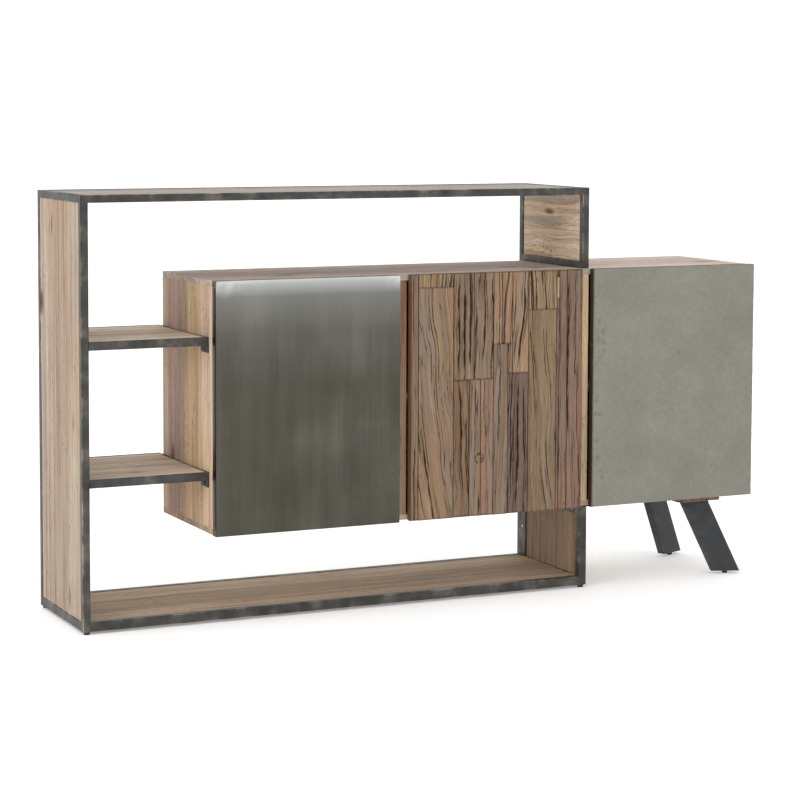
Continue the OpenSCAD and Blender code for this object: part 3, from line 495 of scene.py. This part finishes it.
# Part, grain's axis, the axis that the planks lie side by side on, their tints, their shares, slot.
PANELS = [
    ("left_panel", Z, Y, ["#b4a796", "#ab9a88", "#b8aa9b"], [30, 38, 32], "panel_wood"),
    ("top_panel", X, Y, ["#b0abaa", "#b8b4b3", "#a8a5a6"], [34, 30, 36], "panel_wood"),
    ("bottom_panel", X, Y, ["#c9b8a2", "#bfae9a", "#ccbca6"], [30, 36, 34], "panel_wood"),
    ("right_upper_panel", Y, Z, ["#e2d1ba", "#ebdac4"], [45, 55], "panel_wood"),
    # Painted shade: the lower right panel is tinted darker for the shade the cabinet casts on it.
    ("right_lower_panel", Z, Y, ["#a5917c", "#ab9682", "#9b8774"], [34, 30, 36], "panel_wood"),
    # Painted light: the two shelf boards are tinted paler to stand in for light on their shaded tops.
    ("upper_shelf_board", X, Y, ["#eee4d6", "#e5daca", "#f0e8da"], [34, 30, 36], "panel_wood"),
    ("lower_shelf_board", X, Y, ["#e5d9ca", "#e8ddcf", "#dbcebf"], [36, 30, 34], "panel_wood"),
    ("carcass_left_side", Z, Y, ["#e4cbb1", "#e6cfa9", "#cdb6aa", "#dac4ac"], [26, 30, 33, 11],
     "carcass_wood"),
    ("carcass_right_side", Z, Y, ["#cab296", "#c3a98d", "#cfb69a"], [34, 32, 34], "carcass_wood"),
    # Painted light: the cabinet top is tinted paler against the shade under the top panel.
    ("carcass_top", X, Y, ["#d3c8c2", "#cbc0bb", "#d6cbc5"], [32, 34, 34], "carcass_wood"),
    ("carcass_bottom", X, Y, ["#c8b49e", "#c0ab96", "#c6b29c"], [34, 32, 34], "carcass_wood"),
    ("divider_left", Z, X, ["#b28c6c"], [1], "divider_wood"),
    # Painted light: the right divider is tinted paler to stand in for light in its shaded gap.
    ("divider_right", Z, X, ["#f0dab4"], [1], "divider_wood"),
    ("leg_batten", Y, X, ["#8b6a5e"], [1], "batten_wood"),
]
for row in PANELS:
    plank_panel(*row)
print("plank panels:", len(PANELS))


def plain_board(node, code, material):
    """Copies a hidden board or door core, with its cuts, and gives it a plain wood tint."""
    bm = merged_copy(node)
    mark_wood(bm, bm.verts, code)
    return finish_piece(bm, node + "_board", node, material)


boards = [plain_board(node, "#c8b496", BOARD)
          for node in ("back_panel", "inner_shelves", "carcass_dowels", "metal_door_core")]
# Painted shade: the wood door's backer and the cement door's core are tinted dark for their edges in the
# gaps between the doors.
boards.append(plain_board("wood_door_backer", "#7a6248", DOOR_CORE_GAP_SHADE))
boards.append(plain_board("cement_door_core", "#3d2e22", DOOR_CORE_GAP_SHADE))
print("plain boards:", len(boards))

# %% [markdown]
# ## The folded steel door
# The first door is a sheet of brushed steel, folded back round its core. A thin sheet is never
# flat: it swells a little between its folds, and a corner that was knocked has creases. The copy is
# sliced into a grid, and its front is moved back by smooth noise of up to about a millimetre, which
# is enough to bend the reflections. The folded edges are painted dark as the shade of the gaps
# round the door, and the upper part and the top rim of the sheet carry a painted highlight.

# %% Sheet steel material
def brushed_sheet(painted_sheen_z):
    """Dark sheet steel brushed upright: fine lines, soft clouds, and a painted highlight near the top."""
    mat, shader = new_material("brushed_sheet_steel", Metallic=0.95)
    place = add(mat, "TexCoord", {}).outputs["Object"]
    lines_at = add(mat, "Mapping", {"Vector": place, "Scale": sizes(Z, 0.9, 160)}).outputs[0]
    drift_at = add(mat, "Mapping", {"Vector": place, "Scale": sizes(Z, 40, 420)}).outputs[0]
    lines = add(mat, "TexNoise", {"Vector": lines_at, "Scale": 1, "Detail": 3}).outputs["Fac"]
    drift = add(mat, "TexNoise", {"Vector": drift_at, "Scale": 1, "Detail": 4}).outputs["Fac"]
    cloud = add(mat, "TexNoise", {"Vector": place, "Scale": 1 / (150 * MM), "Detail": 5}).outputs["Fac"]
    tone = add(mat, "ValToRGB", {"Fac": cloud},
               stops=[(0.32, "#56544d"), (0.7, "#6a6860"), (0.5, "#5e5b54")]).outputs["Color"]
    line_tone = add(mat, "ValToRGB", {"Fac": lines}, stops=[(0.3, "#e2e1dc"), (0.7, "#ffffff")])
    drift_tone = add(mat, "ValToRGB", {"Fac": drift}, stops=[(0.3, "#e0dfda"), (0.7, "#ffffff")])
    lined = add(mat, "Mix", {0: 1.0, 6: tone, 7: line_tone.outputs["Color"]},
                data_type="RGBA", blend_type="MULTIPLY").outputs[2]
    drifted = add(mat, "Mix", {0: 1.0, 6: lined, 7: drift_tone.outputs["Color"]},
                  data_type="RGBA", blend_type="MULTIPLY").outputs[2]
    # Painted highlight: the sheet turns lighter towards its top edge, standing in for the reflection of the
    # light overhead.
    height = add(mat, "SeparateXYZ", {"Vector": place}).outputs["Z"]
    climb = add(mat, "MapRange", {"Value": height, "From Min": painted_sheen_z[0], "From Max": painted_sheen_z[1]})
    painted_sheen_ramp = add(mat, "ValToRGB", {"Fac": climb.outputs[0]},
                  stops=[(0.0, "#000000"), (1.0, "#f8f8f8"), (0.5, "#4c4c4c"), (0.84, "#8c8c8c")])
    with_painted_sheen = add(mat, "Mix", {0: painted_sheen_ramp.outputs["Color"], 6: drifted, 7: linear("#b9bbb9")},
                data_type="RGBA").outputs[2]
    # Lighter where the sheet's wear and highlight attribute is set: worn metal at the knocked corners, and
    # a painted highlight along the top rim.
    wear_and_highlight = add(mat, "Attribute", {}, attribute_name="wear_and_highlight").outputs["Fac"]
    folded = add(mat, "Mix", {0: wear_and_highlight, 6: with_painted_sheen, 7: linear("#c9cac6")}, data_type="RGBA").outputs[2]
    # Painted shade: the folded edges, which face sideways, up or down, turn nearly black as the shade of
    # the gaps round the door.
    scale = add(mat, "Attribute", {}, attribute_name="scale").outputs["Fac"]
    with_painted_edge_shade = add(mat, "Mix", {0: scale, 6: folded, 7: linear("#26272c")}, data_type="RGBA").outputs[2]
    both = add(mat, "Math", {0: lines, 1: cloud}, operation="ADD").outputs[0]
    rough = add(mat, "MapRange", {"Value": both, "From Min": 0.7, "From Max": 1.3,
                                  "To Min": 0.3, "To Max": 0.46}).outputs[0]
    bump = add(mat, "Bump", {"Height": lines, "Strength": 0.12, "Distance": 0.1 * MM}).outputs[0]
    feed(mat, shader, Base_Color=with_painted_edge_shade, Roughness=rough, Normal=bump)
    return mat


def slice_grid(bm, low, high, step_mm):
    """Cuts a mesh into a grid on the door's width and height, without changing its shape."""
    for axis in (X, Z):
        count = round((high[axis] - low[axis]) / (step_mm * MM))
        normal = Vector((axis == X, 0, axis == Z))
        for k in range(1, count):
            point = low.copy()
            point[axis] += (high[axis] - low[axis]) * k / count
            geom = bm.verts[:] + bm.edges[:] + bm.faces[:]
            bmesh.ops.bisect_plane(bm, geom=geom, dist=0.01 * MM, plane_co=point, plane_no=normal)


# %% Fold and dent the sheet
FOLD_R = 1.8 * MM
FOLD_MM = 300               # only the folds along the door's edges are this long
SHEET_STEP = 9              # millimetres between two slices
PAINTED_SHEEN_DEPTH = 0.22             # metres below the top edge where the painted highlight begins

low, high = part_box("metal_door_skin")
bm = merged_copy("metal_door_skin")
bmesh.ops.bevel(bm, geom=outer_edges(bm, FOLD_MM), offset=FOLD_R, affect="EDGES", segments=3, profile=0.5,
                clamp_overlap=True, material=-1)
slice_grid(bm, low, high, SHEET_STEP)
bm.normal_update()
# One layer holds wear at the knocked corners and a painted highlight along the top rim.
wear_and_highlight = bm.verts.layers.float.new("wear_and_highlight")
# Marks the folded edges that face sideways, up or down, for the painted shade of the gaps round the door.
scale = bm.faces.layers.float.new("scale")
for face in bm.faces:
    face[scale] = float(max(abs(face.normal.x), abs(face.normal.z)) > 0.4)


def knock_at(x, z):
    """Strength of the creases that knocks left near the two upper corners, from 0 to 1."""
    top = high.z - low.z - z
    left = math.exp(-((x - 0.02) / 0.055) ** 2 - (top / 0.022) ** 2)
    right = math.exp(-((high.x - low.x - x) / 0.03) ** 2 - (top / 0.018) ** 2)
    return max(left, right) * max(0, 0.5 + 1.2 * noise.noise(Vector((x * 62, z * 75, 5.5))))


def sheet_swell(x, z):
    """How far the sheet stands back from its folds, in metres, at x and z from its lower left."""
    width, height = high.x - low.x, high.z - low.z
    inside = min(1, 16 * (x / width) * (1 - x / width) * (z / height) * (1 - z / height) * 2)
    swell = 0.45 * (1 + noise.noise(Vector((x * 7, z * 5, 3.1))))
    ripple = 0.25 * noise.noise(Vector((x * 22, z * 9, 8.4)))
    return (inside * (swell + ripple) + 1.1 * knock_at(x, z)) * MM


front = [v for v in bm.verts if v.co.y < low.y + 0.05 * MM]
for vert in front:
    x, z = vert.co.x - low.x, vert.co.z - low.z
    vert.co.y += sheet_swell(x, z)
    # Painted highlight: the front's top rim turns light, standing in for the light the top fold catches;
    # the knocks are wear.
    rim = max(0, 1 - (high.z - vert.co.z) / 0.004)
    vert[wear_and_highlight] = min(1, 0.9 * knock_at(x, z) + 0.8 * rim)
brushed = brushed_sheet((high.z - PAINTED_SHEEN_DEPTH, high.z))
door_sheet = finish_piece(bm, "metal_door_folded_sheet", "metal_door_skin", brushed,
                          smooth_angle=35)
print("folded sheet:", len(door_sheet.data.polygons), "faces")

# %% [markdown]
# ## The reclaimed wood door
# The middle door is a mosaic of old beams sawn into strips and left rough. Each strip is a block
# that is cut into a fine grid. Its front is pushed in where it has split: a split wanders up the
# strip like a stream, opens and closes, and is a few millimetres deep. The depth is also kept as an
# attribute, so the recipe paints shade into the splits, along the strips' edges and down their sides.

# %% Layout of the strips
# Left, right, bottom and top in millimetres from the door's lower left corner, then how far the
# face lies behind the door's front, the colour, splits per 100 mm, how far the grain wanders, and
# how far it leans to the right for each millimetre up.
STRIPS = [
    (0, 17, 1, 532, 2.0, "#8a745f", 16, 4, 0.0),
    (17, 101, 503, 532, 0.6, "#a18e70", 20, 3, 0.05),
    (17, 101, 0, 503, 1.2, "#998168", 14, 14, -0.12),
    (101, 150, 300, 532, 0.2, "#917e68", 30, 9, 0.0),
    (101, 140, 2, 300, 1.8, "#856f5a", 30, 10, -0.03),
    (150, 198, 300, 532, 1.0, "#917c69", 26, 7, 0.02),
    (140, 167, 1, 300, 0.8, "#947e69", 16, 5, 0.0),
    (167, 198, 2, 300, 0.4, "#997f6c", 10, 4, 0.0),
    (198, 219, 375, 532, 1.4, "#a3886f", 10, 2, 0.0),
    (198, 233, 0, 375, 0.6, "#8f7f6e", 20, 5, 0.04),
    (219, 245, 375, 532, 1.8, "#9f846b", 20, 8, 0.06),
    (233, 245, 310, 375, 1.2, "#957c62", 18, 2, 0.1),
    (245, 284, 310, 532, 0.8, "#a1866b", 16, 14, 0.12),
    (233, 284, 1, 310, 2.0, "#79665c", 30, 9, 0.0),
    (284, 354, 447, 532, 0.0, "#9c896f", 26, 6, -0.03),
    (284, 354, 0, 447, 1.6, "#8b7860", 14, 8, -0.04),
    (354, 361, 470, 517, 0.8, "#b7a485", 0, 0, 0.0),
    (354, 361, 0, 470, 2.0, "#8b7362", 16, 1, 0.0),
    (361, 381, 1, 532, 2.0, "#866e5c", 16, 3, 0.0),
    (381, 419.6, 0, 532, 1.4, "#8a6f5e", 20, 5, 0.0),
]
GAP = 0.3                  # between two strips, in millimetres as everything here
FACE_STEP = 1.0            # grid across the grain
LENGTH_STEP = 3.6          # grid along the grain
DEEPEST = 3.8              # no split goes deeper
THINNEST = 0.4             # a strip keeps at least this much
PLUG = (164, 127, 10)      # a plugged bolt hole: its middle and radius on the door
# The strip's number, then its big splits: place across the grain, lowest and highest point, half
# width, depth and seed.
BIG_SPLITS = [
    (4, [(20, 150, 300, 2.2, 4, 1.0), (33, 20, 230, 1.3, 4, 2.0)]),
    (3, [(12, 305, 530, 1.5, 4, 3.0), (25, 310, 520, 1.9, 4, 4.0), (38, 330, 532, 1.2, 4, 5.0)]),
    (5, [(45, 330, 532, 1.5, 4, 6.0), (6, 300, 470, 1.2, 4, 6.5)]),
    (12, [(20, 320, 500, 1.9, 4, 7.0)]),
    (13, [(26, 5, 300, 2.0, 4, 8.0), (40, 90, 290, 1.3, 4, 9.0), (9, 60, 300, 1.1, 4, 9.5)]),
    (19, [(2, 250, 515, 1.4, 4, 10.0)]),
]


def make_splits(index, width, bottom, top, density, lean):
    """Places, ends, half widths and depths of the splits of one strip, in millimetres."""
    slack = abs(lean) * (top - bottom) / 2
    splits = [row for strip, rows in BIG_SPLITS if strip == index for row in rows]
    for _ in range(round((width + 2 * slack) * density / 100)):
        middle, length = picks.uniform(bottom, top), picks.uniform(40, 260)
        half = 0.55 + 0.9 * picks.random() ** 3
        splits.append((picks.uniform(1 - slack, width - 1 + slack), middle - length / 2,
                       middle + length / 2, half, picks.uniform(1.2, 3.6), picks.uniform(0, 90)))
    return splits


def split_depth(u, z, splits):
    """Depth of the splits at z, where u counts across the grain, in millimetres."""
    depth = 0
    for middle, start, end, half, deep, seed in splits:
        if start < z < end and abs(u - middle) < 7:
            taper = min(1, (z - start) / 35, (end - z) / 35)
            course = 1.5 * noise.noise(Vector((seed, z / 30, 4)))
            open_here = half * taper * (0.8 + 0.9 * noise.noise(Vector((seed, z / 24, 0))))
            beside = (u - middle - course) / max(0.4, open_here)
            depth = max(depth, deep * taper * math.exp(-beside ** 2))
    return min(depth, DEEPEST)


def fibre_depth(u, z, seed):
    """Ridges between the fibres, and the strip's own swells, in millimetres."""
    ridges = noise.noise(Vector((u / 1.9, z / 55, seed)))
    steps = noise.noise(Vector((u / 5, z / 90, seed + 40)))
    swell = noise.noise(Vector((u / 16, z / 140, seed + 20)))
    return 0.3 * (1 + ridges) + 0.4 * (1 + steps) + 0.35 * (1 + swell)


def plug_depth(x, z):
    """Groove round the plug and the pinhole at its right, in millimetres, at a place on the door."""
    away = math.hypot(x - PLUG[0], z - PLUG[1])
    groove = 2.4 * math.exp(-((away - PLUG[2]) / 0.9) ** 2)
    hole = 3.0 * math.exp(-(math.hypot(x - PLUG[0] - 5, z - PLUG[1]) / 1.4) ** 2)
    return max(groove, hole)


# %% Cut the strips
low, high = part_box("wood_door_cladding")
cladding = bmesh.new()
tint_layer = cladding.verts.layers.float_color.new("tint")
shift_layer = cladding.verts.layers.float_vector.new("shift")
crevice_shade_layer = cladding.verts.layers.float.new("crevice_shade")


def ring_cuts(bm, verts, axis, count):
    """Cuts every edge of a block that runs on one axis into equal lengths, as rings."""
    edges = [e for e in {e for v in verts for e in v.link_edges}
             if abs((e.verts[0].co - e.verts[1].co)[axis]) > 0.9 * e.calc_length()]
    bmesh.ops.subdivide_edges(bm, edges=edges, cuts=count, use_grid_fill=True)


def cut_strip(index, left, right, bottom, top, sunk, code, density, wander, lean):
    """Adds one strip to the cladding: a gridded block with its splits pressed in."""
    first = len(cladding.verts)
    cube = bmesh.ops.create_cube(cladding, size=1)
    base = Vector((low.x + (left + GAP) * MM, low.y + sunk * MM, low.z + (bottom + GAP) * MM))
    end = Vector((low.x + (right - GAP) * MM, high.y, low.z + top * MM))
    bmesh.ops.scale(cladding, vec=end - base, verts=cube["verts"])
    bmesh.ops.translate(cladding, vec=(base + end) / 2, verts=cube["verts"])
    ring_cuts(cladding, cube["verts"], X, max(2, round((right - left) / FACE_STEP)))
    cladding.verts.ensure_lookup_table()
    ring_cuts(cladding, cladding.verts[first:], Z, max(2, round((top - bottom) / LENGTH_STEP)))
    cladding.verts.ensure_lookup_table()
    place = Vector([picks.uniform(-SPREAD, SPREAD) for _ in range(3)])
    width = right - left
    splits = make_splits(index, width, bottom, top, density, lean)
    for vert in cladding.verts[first:]:
        vert[tint_layer] = linear(code)
        x, z = (vert.co.x - low.x) / MM - left, (vert.co.z - low.z) / MM
        bend = wander * noise.noise(Vector((index * 7.3, x / 90, z / 130)))
        bend += 2.2 * noise.noise(Vector((index * 3.3, x / 22, z / 48)))
        bend += lean * (z - (bottom + top) / 2)
        vert[shift_layer] = place - Vector((bend * MM, 0, 0))
        # Painted shade: the backs are marked, so the sides of each strip darken towards the back like the
        # gaps between strips.
        if vert.co.y > base.y + 0.01 * MM:
            vert[crevice_shade_layer] = 0.7
            continue
        edge = min(x - GAP, width - GAP - x, z - bottom - GAP, top - z)
        depth = max(split_depth(x - bend, z, splits), plug_depth(x + left, z))
        ragged = 0.9 * max(0, 1 - edge / 2) * (1 + noise.noise(Vector((index, z / 17, 6))))
        pressed = vert.co.y + (depth + fibre_depth(x - bend, z, index * 3.1) + ragged) * MM
        vert.co.y = min(pressed, high.y - THINNEST * MM)
        # Painted shade in the splits and along each strip's edges.
        vert[crevice_shade_layer] = min(1, depth / 1.7 + 0.4 * max(0, 1 - edge / 1.2))
        if x < GAP + 0.1:
            vert.co.x += (0.4 + 0.4 * noise.noise(Vector((index, z / 25, 1)))) * MM
        if width - x < GAP + 0.1:
            vert.co.x -= (0.4 + 0.4 * noise.noise(Vector((index, z / 25, 2)))) * MM


for index, strip in enumerate(STRIPS):
    cut_strip(index, *strip)
# The backs need no grid, so their faces are joined again once every strip is cut.
cladding.normal_update()
bmesh.ops.dissolve_faces(cladding, faces=[f for f in cladding.faces if f.normal.y > 0.99])
print("cladding:", len(STRIPS), "strips,", len(cladding.verts), "points")
finish_piece(cladding, "wood_door_strips", "wood_door_cladding", RECLAIMED,
             smooth_angle=50)

# %% [markdown]
# ## The cement door
# The third door is faced with a trowelled cement slab. Its colour drifts between green grey and warm
# grey, it has pinholes where air was trapped, and its edges crumble slightly. The copy is cut into a
# grid and its face is moved by a fraction of a millimetre, with pits pressed in near the left edge,
# which are darkened with painted shade.

# %% Cement material
def trowelled_cement():
    """Grey-green cement, trowelled and sealed: cloudy, with fine sand and tiny pinholes."""
    mat, shader = new_material("trowelled_cement")
    shader.inputs["Specular IOR Level"].default_value = 0.3
    place = add(mat, "TexCoord", {}).outputs["Object"]
    cloud = add(mat, "TexNoise", {"Vector": place, "Scale": 1 / (110 * MM), "Detail": 8, "Roughness": 0.6})
    sand = add(mat, "TexNoise", {"Vector": place, "Scale": 1 / (1.8 * MM), "Detail": 4, "Roughness": 0.7})
    mottle = add(mat, "TexNoise", {"Vector": place, "Scale": 1 / (9 * MM), "Detail": 5, "Roughness": 0.65})
    holes = add(mat, "TexVoronoi", {"Vector": place, "Scale": 1 / (16 * MM)})
    tone = add(mat, "ValToRGB", {"Fac": cloud.outputs["Fac"]},
               stops=[(0.3, "#817e75"), (0.7, "#8e8c85"), (0.5, "#87857b")]).outputs["Color"]
    mottle_tone = add(mat, "ValToRGB", {"Fac": mottle.outputs["Fac"]},
                      stops=[(0.32, "#eeeee9"), (0.66, "#ffffff")]).outputs["Color"]
    sand_tone = add(mat, "ValToRGB", {"Fac": sand.outputs["Fac"]},
                    stops=[(0.3, "#e6e4de"), (0.62, "#ffffff")]).outputs["Color"]
    mottled = add(mat, "Mix", {0: 1.0, 6: tone, 7: mottle_tone}, data_type="RGBA", blend_type="MULTIPLY")
    sandy = add(mat, "Mix", {0: 1.0, 6: mottled.outputs[2], 7: sand_tone}, data_type="RGBA",
                blend_type="MULTIPLY").outputs[2]
    pin = add(mat, "MapRange", {"Value": holes.outputs["Distance"], "From Min": 0.03, "From Max": 0.07,
                                "To Min": 1.0, "To Max": 0.0}).outputs[0]
    # Painted shade: the pressed pits are darkened; the pinholes are the cement's own small dark holes.
    pit_shade = add(mat, "Attribute", {}, attribute_name="crevice_shade").outputs["Fac"]
    dark = add(mat, "Math", {0: pin, 1: 0.5, 2: pit_shade}, operation="MULTIPLY_ADD", use_clamp=True).outputs[0]
    colour = add(mat, "Mix", {0: dark, 6: sandy, 7: linear("#4c4b42")}, data_type="RGBA").outputs[2]
    height = add(mat, "Math", {0: sand.outputs["Fac"], 1: pin}, operation="SUBTRACT").outputs[0]
    bump = add(mat, "Bump", {"Height": height, "Strength": 0.35, "Distance": 0.3 * MM}).outputs[0]
    rough = add(mat, "MapRange", {"Value": mottle.outputs["Fac"], "To Min": 0.6, "To Max": 0.85}).outputs[0]
    feed(mat, shader, Base_Color=colour, Roughness=rough, Normal=bump)
    return mat


# %% Cast the slab
SLAB_STEP = 5               # millimetres between two slices

low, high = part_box("cement_door_slab")
bm = merged_copy("cement_door_slab")
slice_grid(bm, low, high, SLAB_STEP)
pit_shade_layer = bm.verts.layers.float.new("crevice_shade")
pits = [(picks.uniform(3, 30), picks.uniform(15, 520), picks.uniform(1.5, 4)) for _ in range(26)]
pits += [(picks.uniform(30, 400), picks.uniform(15, 520), picks.uniform(1.0, 2.5)) for _ in range(18)]
for vert in bm.verts:
    x, z = (vert.co.x - low.x) / MM, (vert.co.z - low.z) / MM
    rough_edge = noise.noise(Vector((x / 9, z / 9, 2.0)))
    if x < 0.01 or x > (high.x - low.x) / MM - 0.01:
        vert.co.x += (0.7 + 0.6 * rough_edge) * MM * (1 if x < 1 else -1)
    if z < 0.01:
        vert.co.z += (0.4 + 0.4 * rough_edge) * MM
    if vert.co.y > low.y + 0.01 * MM:
        continue
    wave = 0.22 * (1 + noise.noise(Vector((x / 90, z / 70, 1.0)))) + 0.1 * (1 + rough_edge)
    vert.co.y += wave * MM
    for px, pz, size in pits:
        away = math.hypot(x - px, z - pz)
        if away < size * 1.6:
            press = math.exp(-(away / size) ** 2)
            vert.co.y += 0.8 * press * MM
            # Marks the pit for its painted shade.
            vert[pit_shade_layer] = max(vert[pit_shade_layer], 0.7 * press)
slab = finish_piece(bm, "cement_door_cast_slab", "cement_door_slab", trowelled_cement(),
                    smooth_angle=35)
print("cement slab:", len(slab.data.polygons), "faces,", len(pits), "pits")
